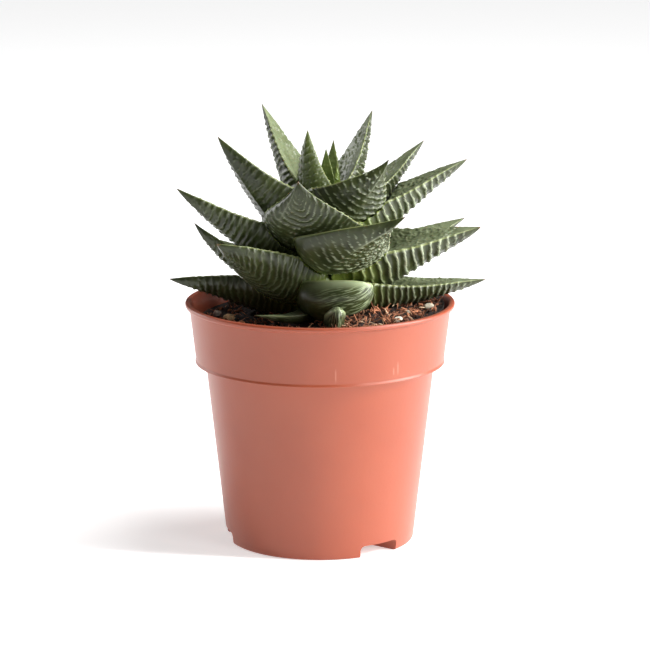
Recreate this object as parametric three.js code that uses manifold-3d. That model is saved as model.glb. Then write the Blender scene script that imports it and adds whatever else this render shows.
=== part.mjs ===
// A potted haworthia of the fairy-washboard kind: a low rosette of thick, keeled, three-cornered
// leaves with raised cross ridges, growing from a short stem in a moulded plastic nursery pot.
// Millimetres, +Z up. The origin is the centre of the pot's underside.
import * as THREE from "three";
import { mergeVertices } from "three/addons/utils/BufferGeometryUtils.js";
import Module from "manifold-3d";

const wasm = await Module();
wasm.setup();

const { degToRad, lerp, smoothstep } = THREE.MathUtils;

// Driving dimensions of the pot: a nursery pot of 9 cm, with a wide collar and a beaded rim.
const POT = {
  height: 81,
  rimRadius: 45,
  rimDrop: 2.6,
  beadDrop: 1.7,
  edgeRound: 0.5,
  collarTopRadius: 43.5,
  collarFootRadius: 41.5,
  collarFootZ: 60.7,
  collarRound: 0.8,
  bodyTopRadius: 38.3,
  baseRadius: 31.5,
  baseRound: 0.8,
  mouthDrop: 3.5,
  wall: 1.2,
  floor: 1.4,
  facets: 44,
};
// Three raised drainage pockets open as notches at the foot of the wall. Each has a hole in its roof.
const POCKET = { count: 3, firstAngle: -51, width: 28, height: 4, innerRadius: 21 };
const DRAIN = { radius: 3, at: 26 };
// Clearance that two touching pieces keep.
const GAP = 0.4;
// Detail smaller than this is merged after a cut.
const SLIVER = 0.12;
// The soil is heaped a little at the stem, and stands higher at the right of the pot than at the left.
const SOIL = { edgeZ: 77.2, heap: 1.4, lean: 0.072, crumb: 0.5, facets: 32, rings: 6, seed: 11 };
// Coir fibres that stand out of the soil near its edge.
const FIBRE = { count: 9, length: 3, rise: 2, lift: 1.8, sunk: 1.6, radius: 0.5, tipRadius: 0.35 };
// The short stem stands a little right of the pot's axis, with its roots below it.
const STEM = {
  ...{ x: 1.5, y: 0, footZ: 62, crownZ: 88, topZ: 114 },
  ...{ footRadius: 4.5, radius: 6.5, topRadius: 1.8, sides: 12 },
};
const ROOT = { count: 5, radius: 1.3, tipShare: 0.4, reach: 17, drop: 22, extraDrop: 6, arch: 5, sides: 5 };

// Height of a leaf's cross ridges, and where along the leaf its rings stand: two at the plain foot,
// then ridges from one share of its length to another.
const RIDGE_HEIGHT = 0.5;
const RINGS = { foot: [0, 0.14], from: 0.3, to: 0.93, bluntTo: 0.97, smoothSteps: 6 };
// A leaf's cross-section. Across and rise are shares of the half width and of the margins' height,
// channel of the half width, and plump is how full the flanks beside the keel are, at foot and tip.
// A blunt leaf rounds off from bluntFrom. An envelope's margins stand marginClear times further out.
const SECTION = {
  ...{ channelAcross: 0.4, channelRise: 0.25, channel: 0.06 },
  ...{ flankAcross: 0.6, flankRise: 0.36, footPlump: 0.86, tipPlump: 0.62 },
  ...{ tipMargin: 0.04, marginRidge: 0.35, sideRidge: 0.6, bluntFrom: 0.82, marginClear: 1.4 },
};

// One leaf: where its tip stands, the height of its seat on the stem, its greatest width and
// thickness, how far its middle bows below (+) or above (-) the straight line from seat to tip, and
// the number of its ridges. Then, where it differs: its roll about its own length in degrees, the
// sweep of its middle to one side, where along it the belly is widest, how full it is (1 runs
// straight to the point), how far its margins stand up to clasp, how much of it ends bluntly, and
// how far its keel stands to one side, as a share of the half width.
const PLAIN_LEAF = { roll: 0, sweep: 0, belly: 0.2, full: 1.08, clasp: 0.5, blunt: 0, keel: 0 };
const leafRow = (name, tip, seat, width, thick, bow, ridges, own) => ({
  ...PLAIN_LEAF,
  ...{ name, tip, seat, width, thick, bow, ridges },
  ...own,
});

// The leaves, youngest first. Heart leaves are at the growing point, ground leaves lie by the rim.
const LEAVES = [
  leafRow("heart_leaf_1", [2, 2, 132], 113, 8, 2.6, 0.5, 4),
  leafRow("heart_leaf_2", [5.5, -1, 126.5], 111, 7, 2.2, 0.5, 4),
  leafRow("heart_leaf_3", [4.5, 8, 134], 110, 10, 3, 1, 4),
  leafRow("heart_leaf_4", [-4, -7, 139.5], 108, 18, 4.5, 1.5, 7),
  leafRow("upper_leaf_1", [17.5, 18, 142.5], 106, 25, 5.5, -1, 8, { roll: -24 }),
  leafRow("upper_leaf_2", [-19.5, 16, 145], 105, 26, 5.5, -1, 8, { roll: 15 }),
  leafRow("upper_leaf_3", [22.5, -15, 131], 107, 27.5, 6, 2, 8, {
    ...{ roll: -30, sweep: -2.5, belly: 0.3, full: 1.3, keel: -0.1 },
  }),
  leafRow("upper_leaf_4", [35, 20, 132], 102, 27, 6, -1, 8, { roll: -8 }),
  leafRow("upper_leaf_5", [-33.5, -8, 137.5], 101, 27, 6.5, 1, 9, { roll: 30 }),
  leafRow("upper_leaf_6", [-7, -26, 125.5], 99.5, 32, 6, 4.2, 9, {
    ...{ sweep: 0.3, belly: 0.35, full: 2.5, keel: -0.2 },
  }),
  leafRow("upper_leaf_7", [6, 30, 122], 98.5, 26, 6, 2, 7),
  leafRow("middle_leaf_1", [49, 8, 127.5], 100.5, 30, 8, -2, 9),
  leafRow("middle_leaf_2", [-47, -12, 121], 91.5, 26, 7, 0.5, 9, { roll: 25 }),
  leafRow("middle_leaf_3", [27.5, -32, 115], 95, 34, 8, 1, 9, {
    ...{ roll: -15, sweep: -6, belly: 0.35, full: 1.35, clasp: 0.25, keel: -0.3 },
  }),
  leafRow("middle_leaf_4", [-24, 34, 121], 93.5, 28, 6.5, 1, 7),
  leafRow("middle_leaf_5", [22, 42, 114], 92, 28, 6.5, 1, 7),
  leafRow("middle_leaf_6", [-33.5, -26, 105], 83, 25, 8, -1, 9, {
    ...{ roll: 22, belly: 0.45, full: 1.5, clasp: 0.2 },
  }),
  leafRow("lower_leaf_1", [53.5, 0, 106], 92, 30, 12, -1.5, 9, { roll: 10 }),
  leafRow("lower_leaf_2", [49.5, 26, 104.5], 87.5, 27, 6.5, -1, 8, { roll: 8 }),
  leafRow("lower_leaf_3", [-41.5, -6, 108.5], 87, 26, 6, 4, 8, { roll: 20 }),
  leafRow("lower_leaf_4", [-4, 50, 106], 88, 27, 6.5, 0, 7),
  leafRow("lower_leaf_5", [-40, 32, 97], 86, 26, 6, 0, 7),
  leafRow("ground_leaf_1", [55.5, 4, 87.5], 83, 25, 7.5, -0.5, 9),
  leafRow("ground_leaf_2", [-50.5, 2, 88], 79.5, 26, 7, -1.5, 9, { roll: 35, clasp: 0.3 }),
  leafRow("ground_leaf_3", [17.5, -23, 90], 80, 18, 10, -2, 0, { roll: -28, sweep: -10, blunt: 0.38 }),
  leafRow("ground_leaf_4", [24, 46, 90], 84, 24, 6, -1, 7),
  leafRow("ground_leaf_5", [-22, 44, 88], 83.5, 24, 6, -1, 7),
  leafRow("ground_leaf_6", [-21.5, -24, 81], 79, 11, 4, 0, 0, { sweep: 7 }),
  leafRow("ground_leaf_7", [5.8, -33, 84.5], 78.5, 8, 6, 2.5, 0, { blunt: 0.4 }),
];

// Stones: pumice and grit lying half sunk in the soil, each by its place and its three sizes.
const STONES = [
  [-34.7, 6.6, 3.4, 2.8, 2.6],
  [-30.5, -2.3, 4.6, 3.6, 2.8],
  [-25.9, -13, 3, 2.4, 2],
  [25.5, -24.4, 5.2, 3.4, 2.4],
  [36, -6.8, 4.6, 3, 2.4],
  [29, -14, 1.8, 1.6, 1.4],
  [29, 24, 3.6, 3, 2.2],
  [4, 38, 4, 3.2, 2.4],
  [-30, 22, 3.8, 3, 2.6],
];
const STONE = { sides: 6, ringAt: 0.62, least: 0.86, spread: 0.22, jitter: 0.3 };

// Helpers

// A seeded stream of numbers from 0 to 1.
function stream(seed) {
  let state = seed >>> 0;
  return () => {
    state = (state * 1664525 + 1013904223) >>> 0;
    return state / 4294967296;
  };
}

// A ring of points, one for each of so many equal angles.
function turnRing(sides, pointAt) {
  return Array.from({ length: sides }, (_, k) => pointAt((2 * Math.PI * k) / sides));
}

// A closed solid from a pole, rings of points that all have the same count, and another pole.
// The rings may run either way round: the faces are turned outward at the end.
function ringSolid(startPole, rings, endPole) {
  const sides = rings[0].length;
  const points = [startPole, ...rings.flat(), endPole];
  const at = (ring, side) => 1 + ring * sides + (side % sides);
  const last = points.length - 1;
  const index = [];
  for (let k = 0; k < sides; k++) {
    index.push(0, at(0, k + 1), at(0, k));
    index.push(last, at(rings.length - 1, k), at(rings.length - 1, k + 1));
  }
  for (let r = 0; r + 1 < rings.length; r++)
    for (let k = 0; k < sides; k++) {
      index.push(at(r, k), at(r, k + 1), at(r + 1, k + 1));
      index.push(at(r, k), at(r + 1, k + 1), at(r + 1, k));
    }
  const normal = new THREE.Vector3();
  let volume = 0;
  for (let i = 0; i < index.length; i += 3)
    volume += points[index[i]].dot(normal.crossVectors(points[index[i + 1]], points[index[i + 2]]));
  if (volume < 0) index.reverse();
  const geometry = new THREE.BufferGeometry().setFromPoints(points);
  geometry.setIndex(index);
  return geometry;
}

// Geometry to solid and back, for cuts and joins.
function toSolid(geometry) {
  const bare = geometry.clone();
  bare.deleteAttribute("normal");
  bare.deleteAttribute("uv");
  const merged = mergeVertices(bare, 1e-4);
  const vertProperties = new Float32Array(merged.attributes.position.array);
  const triVerts = new Uint32Array(merged.index.array);
  return new wasm.Manifold(new wasm.Mesh({ numProp: 3, vertProperties, triVerts }));
}

function toGeometry(solid) {
  const { numProp, numVert, vertProperties, triVerts } = solid.getMesh();
  const points = new Float32Array(numVert * 3);
  for (let i = 0; i < numVert; i++) points.set(vertProperties.subarray(i * numProp, i * numProp + 3), i * 3);
  const geometry = new THREE.BufferGeometry();
  geometry.setAttribute("position", new THREE.BufferAttribute(points, 3));
  geometry.setIndex(new THREE.BufferAttribute(new Uint32Array(triVerts), 1));
  return geometry;
}

// The largest body of a solid: scraps that a cut leaves are dropped, and its slivers are merged.
function largest(solid) {
  const bodies = solid.simplify(SLIVER).decompose();
  return bodies.reduce((best, body) => (body.volume() > best.volume() ? body : best));
}

// A solid cut by each cutter whose box meets its own.
function cutBy(solid, cutters) {
  const box = solid.boundingBox();
  const meets = (other) => [0, 1, 2].every((i) => box.min[i] < other.max[i] && other.min[i] < box.max[i]);
  const near = cutters.filter((cutter) => meets(cutter.boundingBox()));
  return largest(near.reduce((rest, cutter) => rest.subtract(cutter), solid));
}

// Leaf

// Share of the greatest width at a share of the length from the seat: a broad clasping foot, widest
// at the belly, then running to a fine point.
function widthShare(t, { belly, full }) {
  const foot = lerp(0.75, 1, smoothstep(t, 0, belly));
  const beyond = Math.max(0, (t - belly) / (1 - belly));
  return foot * (1 - Math.pow(beyond, full));
}

function thickShare(t) {
  const foot = lerp(0.5, 1, smoothstep(t, 0, 0.35));
  return foot * Math.pow(Math.min(1, (1 - t) / 0.65), 0.75);
}

// The line of a leaf from the stem to its tip, bowed in the upright plane through both, and swept
// to one side by its own amount.
function leafLine({ tip: [x, y, z], seat, bow, sweep }) {
  const tip = new THREE.Vector3(x, y, z);
  const start = new THREE.Vector3(STEM.x, STEM.y, seat);
  const out = new THREE.Vector3(tip.x - start.x, tip.y - start.y, 0).normalize();
  const side = new THREE.Vector3(-out.y, out.x, 0);
  start.addScaledVector(out, STEM.topRadius);
  const chord = tip.clone().sub(start).normalize();
  const below = new THREE.Vector3().crossVectors(side, chord).normalize();
  const middle = start.clone().lerp(tip, 0.5);
  middle.addScaledVector(below, 2 * bow).addScaledVector(side, 2 * sweep);
  return { curve: new THREE.QuadraticBezierCurve3(start, middle, tip), side };
}

// One cross-section: margins at both sides, a channel above and a keel below. Near the stem the
// margins stand up to clasp the younger leaves. lift raises a ridge, grow widens the section, and
// outward says to which side a point moves by them.
function leafSection(leaf, line, t, lift, grow) {
  const centre = line.curve.getPoint(t);
  const along = line.curve.getTangent(t);
  const side = line.side.clone().addScaledVector(along, -line.side.dot(along)).normalize();
  const up = new THREE.Vector3().crossVectors(along, side).normalize();
  const roll = new THREE.Quaternion().setFromAxisAngle(along, degToRad(leaf.roll));
  side.applyQuaternion(roll);
  up.applyQuaternion(roll);
  const shape = t * (1 - leaf.blunt);
  const past = Math.max(0, (t - SECTION.bluntFrom) / (1 - SECTION.bluntFrom));
  const round = leaf.blunt ? Math.sqrt(1 - past * past) : 1;
  const half = (leaf.width / 2) * widthShare(shape, leaf) * round;
  const depth = leaf.thick * thickShare(shape) * round;
  const clasp = leaf.clasp * smoothstep(t, -0.06, 0.14);
  const margin = half * lerp(clasp, SECTION.tipMargin, smoothstep(t, 0, 0.75));
  const channel = margin * SECTION.channelRise - half * SECTION.channel;
  const flank = margin * SECTION.flankRise - depth * lerp(SECTION.footPlump, SECTION.tipPlump, t);
  const point = (across, high, ridge, face, outward = Math.sign(across)) => {
    const wider = outward * (lift * ridge * SECTION.sideRidge + grow);
    const raised = face * (lift * ridge + grow);
    return centre.clone().addScaledVector(side, across * half + wider).addScaledVector(up, high + raised);
  };
  const marginOutward = grow ? SECTION.marginClear : 1;
  return [
    point(-1, margin, SECTION.marginRidge, 1, -marginOutward),
    point(-SECTION.channelAcross, channel, 1, 1),
    point(SECTION.channelAcross, channel, 1, 1),
    point(1, margin, SECTION.marginRidge, 1, marginOutward),
    point(lerp(leaf.keel, 1, SECTION.flankAcross), flank, 1, -1),
    point(leaf.keel, -depth, 1, -1, 0),
    point(lerp(leaf.keel, -1, SECTION.flankAcross), flank, 1, -1),
  ];
}

// A leaf's solid: a plain foot, then ridges, each a raised ring between two low ones. The envelope
// of a leaf is smooth, as high as its ridges, and larger by the clearance.
function leafGeometry(leaf, isEnvelope = false) {
  const line = leafLine(leaf);
  const grow = isEnvelope ? GAP : 0;
  const ridge = (t) => RIDGE_HEIGHT * Math.min(1, (1 - t) * 3);
  const lastRing = leaf.blunt ? RINGS.bluntTo : RINGS.to;
  const steps = leaf.ridges && !isEnvelope ? leaf.ridges * 2 : RINGS.smoothSteps;
  const rings = RINGS.foot.map((t) => leafSection(leaf, line, t, isEnvelope ? RIDGE_HEIGHT : 0, grow));
  for (let i = 0; i <= steps; i++) {
    const t = lerp(RINGS.from, lastRing, i / steps);
    const isRaised = isEnvelope || (leaf.ridges > 0 && i % 2 === 1);
    rings.push(leafSection(leaf, line, t, isRaised ? ridge(t) : 0, grow));
  }
  const [, left, right, , , keel] = rings[0];
  const foot = left.clone().add(right).multiplyScalar(0.5).lerp(keel, 0.5);
  foot.addScaledVector(line.curve.getTangent(0), -grow - 0.2);
  const tip = line.curve.getPoint(1).addScaledVector(line.curve.getTangent(1), grow);
  return ringSolid(foot, rings, tip);
}

// Stem and roots, grown as one piece

function rod(from, to, fromRadius, toRadius, sides, arch = 0) {
  const middle = from.clone().lerp(to, 0.5).add(new THREE.Vector3(0, 0, arch));
  const curve = new THREE.QuadraticBezierCurve3(from, middle, to);
  const steps = arch ? 3 : 1;
  const rings = [];
  for (let i = 0; i <= steps; i++) {
    const centre = curve.getPoint(i / steps);
    const along = curve.getTangent(i / steps);
    const side = new THREE.Vector3(-along.y, along.x, 0);
    if (side.length() < 1e-3) side.set(1, 0, 0);
    side.normalize();
    const up = new THREE.Vector3().crossVectors(side, along).normalize();
    const radius = lerp(fromRadius, toRadius, i / steps);
    const pointAt = (angle) => {
      const [across, high] = [radius * Math.cos(angle), radius * Math.sin(angle)];
      return centre.clone().addScaledVector(side, across).addScaledVector(up, high);
    };
    rings.push(turnRing(sides, pointAt));
  }
  return toSolid(ringSolid(from.clone(), rings, to.clone()));
}

function stemSolid(grow = 0) {
  const at = (z) => new THREE.Vector3(STEM.x, STEM.y, z);
  const radii = [STEM.footRadius, STEM.radius, STEM.topRadius];
  const [foot, crown, top] = radii.map((radius) => radius + grow);
  let solid = rod(at(STEM.footZ - grow), at(STEM.crownZ + 0.5), foot, crown, STEM.sides);
  solid = solid.add(rod(at(STEM.crownZ), at(STEM.topZ + grow), crown, top, STEM.sides));
  const [rootRadius, rootTip] = [ROOT.radius + grow, ROOT.radius * ROOT.tipShare + grow];
  for (let k = 0; k < ROOT.count; k++) {
    const angle = (2 * Math.PI * (k + 0.35)) / ROOT.count;
    const start = at(STEM.footZ + 3 + (k % 3) * 2);
    const outward = new THREE.Vector3(Math.cos(angle), Math.sin(angle), 0);
    const end = start.clone().addScaledVector(outward, ROOT.reach);
    end.z -= ROOT.drop + (k % 2) * ROOT.extraDrop;
    solid = solid.add(rod(start, end, rootRadius, rootTip, ROOT.sides, ROOT.arch));
  }
  return solid;
}

// Pot

function lathe(profile) {
  const points = profile.map(([radius, z]) => new THREE.Vector2(radius, z));
  return toSolid(new THREE.LatheGeometry(points, POT.facets).rotateX(Math.PI / 2));
}

// The inside of the pot from the floor to just under the rim. shrink draws it in from the wall.
function cavityProfile(shrink) {
  const inset = POT.wall + shrink;
  return [
    [POT.baseRadius - inset, POT.floor + shrink],
    [POT.bodyTopRadius - inset, POT.collarFootZ + POT.wall],
    [POT.collarFootRadius - inset, POT.collarFootZ + POT.wall + shrink],
    [POT.collarTopRadius - inset, POT.height - POT.mouthDrop],
  ];
}

const pocketAngles = [0, 1, 2].map((k) => POCKET.firstAngle + (360 / POCKET.count) * k);

// A block in the shape of one pocket, up to a height, larger on its inner sides by grow.
function pocketBlock(angle, grow, topZ) {
  const middle = degToRad(angle);
  const half = degToRad(POCKET.width / 2) + grow / POT.baseRadius;
  const shape = new THREE.Shape();
  shape.absarc(0, 0, POT.rimRadius, middle - half, middle + half, false);
  shape.absarc(0, 0, POCKET.innerRadius - grow, middle + half, middle - half, true);
  const options = { depth: topZ + 1, bevelEnabled: false, curveSegments: 5 };
  const geometry = new THREE.ExtrudeGeometry(shape, options);
  return toSolid(geometry.translate(0, 0, -1));
}

function drainHole(angle) {
  const [x, y] = [DRAIN.at * Math.cos(degToRad(angle)), DRAIN.at * Math.sin(degToRad(angle))];
  const geometry = new THREE.CylinderGeometry(DRAIN.radius, DRAIN.radius, POCKET.height * 2, 16);
  return toSolid(geometry.rotateX(Math.PI / 2).translate(x, y, POCKET.height));
}

function potSolid() {
  const outer = lathe([
    [0, 0],
    [POT.baseRadius - POT.baseRound, 0],
    [POT.baseRadius, POT.baseRound],
    [POT.bodyTopRadius, POT.collarFootZ],
    [POT.collarFootRadius - POT.edgeRound, POT.collarFootZ],
    [POT.collarFootRadius, POT.collarFootZ + POT.collarRound],
    [POT.collarTopRadius, POT.height - POT.rimDrop],
    [POT.rimRadius - POT.edgeRound, POT.height - POT.beadDrop],
    [POT.rimRadius, POT.height - POT.beadDrop / 2],
    [POT.rimRadius - POT.edgeRound, POT.height],
    [0, POT.height],
  ]);
  const mouth = [
    [POT.collarTopRadius - POT.wall + 0.2, POT.height - 1],
    [POT.rimRadius - POT.beadDrop, POT.height + 1],
  ];
  let cavity = lathe([[0, POT.floor], ...cavityProfile(0), ...mouth, [0, POT.height + 1]]);
  const roofZ = POCKET.height + POT.wall;
  for (const angle of pocketAngles) cavity = cavity.subtract(pocketBlock(angle, POT.wall, roofZ));
  let solid = outer.subtract(cavity);
  for (const angle of pocketAngles)
    solid = solid.subtract(pocketBlock(angle, 0, POCKET.height)).subtract(drainHole(angle));
  return solid;
}

// Soil

function soilHeight(x, y) {
  const fromStem = Math.hypot(x - STEM.x, y - STEM.y) / POT.collarTopRadius;
  return SOIL.edgeZ + SOIL.heap * (1 - fromStem * fromStem) + SOIL.lean * x;
}

// The soil fills the pot, with a crumbly top, coir fibres in it, and plain holes for what stands in it.
function soilSolid(cutters) {
  const random = stream(SOIL.seed);
  const edge = POT.collarTopRadius - POT.wall - 2 * GAP;
  // A ring of the surface, or at one height where that is given.
  const ring = (radius, z) =>
    turnRing(SOIL.facets, (angle) => {
      const [x, y] = [radius * Math.cos(angle), radius * Math.sin(angle)];
      return new THREE.Vector3(x, y, z ?? soilHeight(x, y) + SOIL.crumb * (2 * random() - 1));
    });
  const rings = cavityProfile(GAP)
    .slice(0, -1)
    .map(([radius, z]) => ring(radius, z));
  for (let i = SOIL.rings; i >= 1; i--) rings.push(ring((edge * i) / SOIL.rings));
  const bottom = new THREE.Vector3(0, 0, POT.floor + GAP);
  let solid = toSolid(ringSolid(bottom, rings, new THREE.Vector3(0, 0, soilHeight(0, 0))));
  for (let i = 0; i < FIBRE.count; i++) {
    const angle = 2 * Math.PI * random();
    const radius = edge * (0.72 + 0.2 * random());
    const turn = 2 * Math.PI * random();
    const start = new THREE.Vector3(radius * Math.cos(angle), radius * Math.sin(angle), 0);
    start.z = soilHeight(start.x, start.y) - FIBRE.sunk;
    const level = new THREE.Vector3(Math.cos(turn), Math.sin(turn), 0);
    const end = start.clone().addScaledVector(level, FIBRE.length);
    end.z += FIBRE.sunk + FIBRE.lift + FIBRE.rise * random();
    solid = solid.add(rod(start, end, FIBRE.radius, FIBRE.tipRadius, 4));
  }
  const roofZ = POCKET.height + POT.wall + GAP;
  const pockets = pocketAngles.map((angle) => pocketBlock(angle, POT.wall + GAP, roofZ));
  return cutBy(solid, [...pockets, ...cutters]);
}

function stoneGeometry([x, y, long, wide, high], seed, grow = 0) {
  const random = stream(seed);
  const turn = Math.PI * random();
  const centre = new THREE.Vector3(x, y, soilHeight(x, y));
  const half = [long, wide, high].map((size) => size / 2 + grow);
  const pointAt = (a, b, c) => {
    const [u, v] = [half[0] * a, half[1] * b];
    const [cos, sin] = [Math.cos(turn), Math.sin(turn)];
    return new THREE.Vector3(u * cos - v * sin, u * sin + v * cos, half[2] * c).add(centre);
  };
  const ring = (c) =>
    turnRing(STONE.sides, (even) => {
      const angle = even + (2 * Math.PI * STONE.jitter * random()) / STONE.sides;
      const radius = Math.sqrt(1 - c * c) * (STONE.least + STONE.spread * random());
      return pointAt(radius * Math.cos(angle), radius * Math.sin(angle), c);
    });
  const rings = [-STONE.ringAt, 0, STONE.ringAt].map(ring);
  return ringSolid(pointAt(0, 0, -1), rings, pointAt(0, 0, 1));
}

// Assembly

const material = (color, roughness) => new THREE.MeshStandardMaterial({ color, roughness, metalness: 0 });
const TERRACOTTA_PLASTIC = material(0xc4694f, 0.5);
const POTTING_MIX = material(0x4a3022, 0.95);
const LEAF_SKIN = material(0x5c7048, 0.5);
const STEM_SKIN = material(0x8d8a5c, 0.7);
const PUMICE = material(0xb9a68c, 0.9);

const plant = new THREE.Group();
function place(name, solid, skin) {
  const mesh = new THREE.Mesh(toGeometry(solid), skin);
  mesh.name = name;
  plant.add(mesh);
}

const stemEnvelope = stemSolid(GAP);
const leafEnvelopes = LEAVES.map((leaf) => toSolid(leafGeometry(leaf, true)));
const stoneEnvelopes = STONES.map((stone, i) => toSolid(stoneGeometry(stone, i + 1, GAP)));

place("pot", potSolid(), TERRACOTTA_PLASTIC);
place("soil", soilSolid([stemEnvelope, ...leafEnvelopes, ...stoneEnvelopes]), POTTING_MIX);
place("stem", stemSolid(), STEM_SKIN);
// An older leaf's foot is pressed hollow by the younger leaves that it clasps.
LEAVES.forEach((leaf, i) => {
  const younger = leafEnvelopes.slice(0, i);
  place(leaf.name, cutBy(toSolid(leafGeometry(leaf)), [stemEnvelope, ...younger]), LEAF_SKIN);
});
STONES.forEach((stone, i) => place(`stone_${i + 1}`, toSolid(stoneGeometry(stone, i + 1)), PUMICE));

export default plant;
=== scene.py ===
# %% [markdown]
# # A potted haworthia
# This lesson dresses a plant in a nursery pot. The frame holds its solids at their true size: a pot, soil,
# a stem, 29 leaves and 9 stones. Each leaf, the pot, the soil and the stones get a finer piece that
# keeps the form of its solid and adds what only a picture needs: ridges, crumbs, fibres and skin.

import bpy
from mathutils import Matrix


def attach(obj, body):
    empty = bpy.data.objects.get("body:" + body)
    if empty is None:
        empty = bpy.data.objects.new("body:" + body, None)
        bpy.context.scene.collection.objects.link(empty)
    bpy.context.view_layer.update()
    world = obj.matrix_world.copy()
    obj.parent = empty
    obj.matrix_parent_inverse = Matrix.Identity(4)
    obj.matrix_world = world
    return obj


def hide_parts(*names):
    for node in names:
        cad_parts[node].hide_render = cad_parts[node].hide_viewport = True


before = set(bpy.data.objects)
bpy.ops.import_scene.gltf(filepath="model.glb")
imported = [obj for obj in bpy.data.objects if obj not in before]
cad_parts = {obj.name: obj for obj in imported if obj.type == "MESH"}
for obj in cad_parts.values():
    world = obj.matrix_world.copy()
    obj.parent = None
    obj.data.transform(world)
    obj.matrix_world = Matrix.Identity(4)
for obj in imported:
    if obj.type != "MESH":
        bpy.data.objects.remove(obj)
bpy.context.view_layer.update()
print("solids in the frame:", len(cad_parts))

# %% Modules
import math
from functools import partial

import bmesh
import bpy
import numpy as np
from mathutils import Vector

MM = 0.001

# %% [markdown]
# ## Small tools
# Every length here is in millimetres, as on the drawing of the object, and is turned to Blender's metres
# where a mesh is made. Colours are picked as sRGB hex values, which a renderer needs as linear light.

# %% Colour and mesh helpers
def linear(code):
    """Linear RGBA of an sRGB hex value such as "c4694f"."""
    shares = [int(code[i : i + 2], 16) / 255 for i in (0, 2, 4)]
    return (*[s / 12.92 if s <= 0.04045 else ((s + 0.055) / 1.055) ** 2.4 for s in shares], 1.0)


def mesh_object(name, points_mm, faces):
    """A new smooth-shaded object from points in millimetres."""
    mesh = bpy.data.meshes.new(name)
    mesh.from_pydata((np.asarray(points_mm) * MM).tolist(), [], faces)
    mesh.shade_smooth()
    piece = bpy.data.objects.new(name, mesh)
    bpy.context.scene.collection.objects.link(piece)
    return piece


def store(piece, name, values):
    """Keep one number for each point of a piece, for its nodes to read."""
    attribute = piece.data.attributes.new(name, "FLOAT", "POINT")
    attribute.data.foreach_set("value", np.asarray(values, dtype=np.float32).ravel())


def freeze(piece):
    """Replace a piece by the plain mesh that its modifiers make, and drop the modifiers."""
    shown = piece.evaluated_get(bpy.context.evaluated_depsgraph_get())
    mesh = bpy.data.meshes.new_from_object(shown)
    piece.modifiers.clear()
    piece.data = mesh
    return piece


def triangles(piece):
    return sum(len(face.vertices) - 2 for face in piece.data.polygons)


# %% [markdown]
# Nodes build the ridges and the skins. One function adds a node of any kind, sets it and links it. Bound
# to a tree it is called node there, and the tree reads from top to bottom like a recipe. A list fills the
# first sockets of a node in turn, and a dictionary fills those that it names or numbers: the colours of a
# Mix node are its sockets 6 and 7.

# %% Node helpers
MAIN_MENU = {
    "ShaderNodeMapRange": "interpolation_type",
    "ShaderNodeMix": "data_type",
    "ShaderNodeTexVoronoi": "feature",
    "FunctionNodeRandomValue": "data_type",
    "GeometryNodeInputNamedAttribute": "data_type",
    "GeometryNodeStoreNamedAttribute": "data_type",
}


def add(tree, kind, inputs=(), out=0, **settings):
    """Add one node and return one of its outputs, or all for out=None.

    kind is the node's type, where ShaderNode may be left out, and after a dot the choice in its main menu.
    A kind in capitals is what a Math node does. An input is a value or the output that feeds it.
    """
    kind, _, choice = ("Math." + kind if kind.isupper() else kind).partition(".")
    node = tree.nodes.new(kind if "Node" in kind else "ShaderNode" + kind)
    if choice:
        setattr(node, MAIN_MENU.get(node.bl_idname, "operation"), choice)
    for name, value in settings.items():
        setattr(node, name, value)
    for key, value in inputs.items() if isinstance(inputs, dict) else enumerate(inputs):
        if isinstance(value, bpy.types.NodeSocket):
            tree.links.new(value, node.inputs[key])
        else:
            node.inputs[key].default_value = value
    return node.outputs if out is None else node.outputs[out]


def geometry_tree(name, sizes):
    """Start a Geometry Nodes tree with a number input for each size. Returns what adds nodes, and inputs."""
    tree = bpy.data.node_groups.new(name, "GeometryNodeTree")
    tree.interface.new_socket("Geometry", in_out="INPUT", socket_type="NodeSocketGeometry")
    tree.interface.new_socket("Geometry", in_out="OUTPUT", socket_type="NodeSocketGeometry")
    tree.interface.new_socket("Material", in_out="INPUT", socket_type="NodeSocketMaterial")
    for label, value in sizes.items():
        socket = tree.interface.new_socket(label, in_out="INPUT", socket_type="NodeSocketFloat")
        socket.default_value = float(value)
    return partial(add, tree), add(tree, "NodeGroupInput", out=None)


def close_tree(geometry, material):
    """End a tree and return it: instances made real, smooth faces and the piece's material."""
    tree = geometry.id_data
    real = add(tree, "GeometryNodeRealizeInstances", [geometry])
    smooth = add(tree, "GeometryNodeSetShadeSmooth", [real])
    painted = add(tree, "GeometryNodeSetMaterial", {"Geometry": smooth, "Material": material})
    add(tree, "NodeGroupOutput", [painted], out=None)
    return tree


def grow(piece, tree, material, values):
    """Run a tree on a piece with its own sizes. Each input is set by the identifier of its socket."""
    modifier = piece.modifiers.new(tree.name, "NODES")
    modifier.node_group = tree
    for socket in tree.interface.items_tree:
        if socket.in_out == "INPUT" and socket.name == "Material":
            modifier[socket.identifier] = material
        elif socket.in_out == "INPUT" and socket.name in values:
            modifier[socket.identifier] = float(values[socket.name])


def skin(name, **constants):
    """A material, what adds nodes to it, and its Principled shader with constants on its sockets."""
    material = bpy.data.materials.new(name)
    material.use_nodes = True
    shader = material.node_tree.nodes["Principled BSDF"]
    for label, value in constants.items():
        shader.inputs[label.replace("_", " ")].default_value = value
    return material, partial(add, material.node_tree), shader


def cells(size):
    """The scale of a texture whose cells have a size in millimetres, in whole cells to the metre."""
    return round(1 / (size * MM))


def mottle(node, noise, low, high, dark, light):
    """Two tones of a colour, shared out by a noise that is stretched from low to high."""
    share = node("MapRange", [noise, low, high])
    return node("Mix.RGBA", {0: share, 6: dark, 7: light}, out=2)


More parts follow.
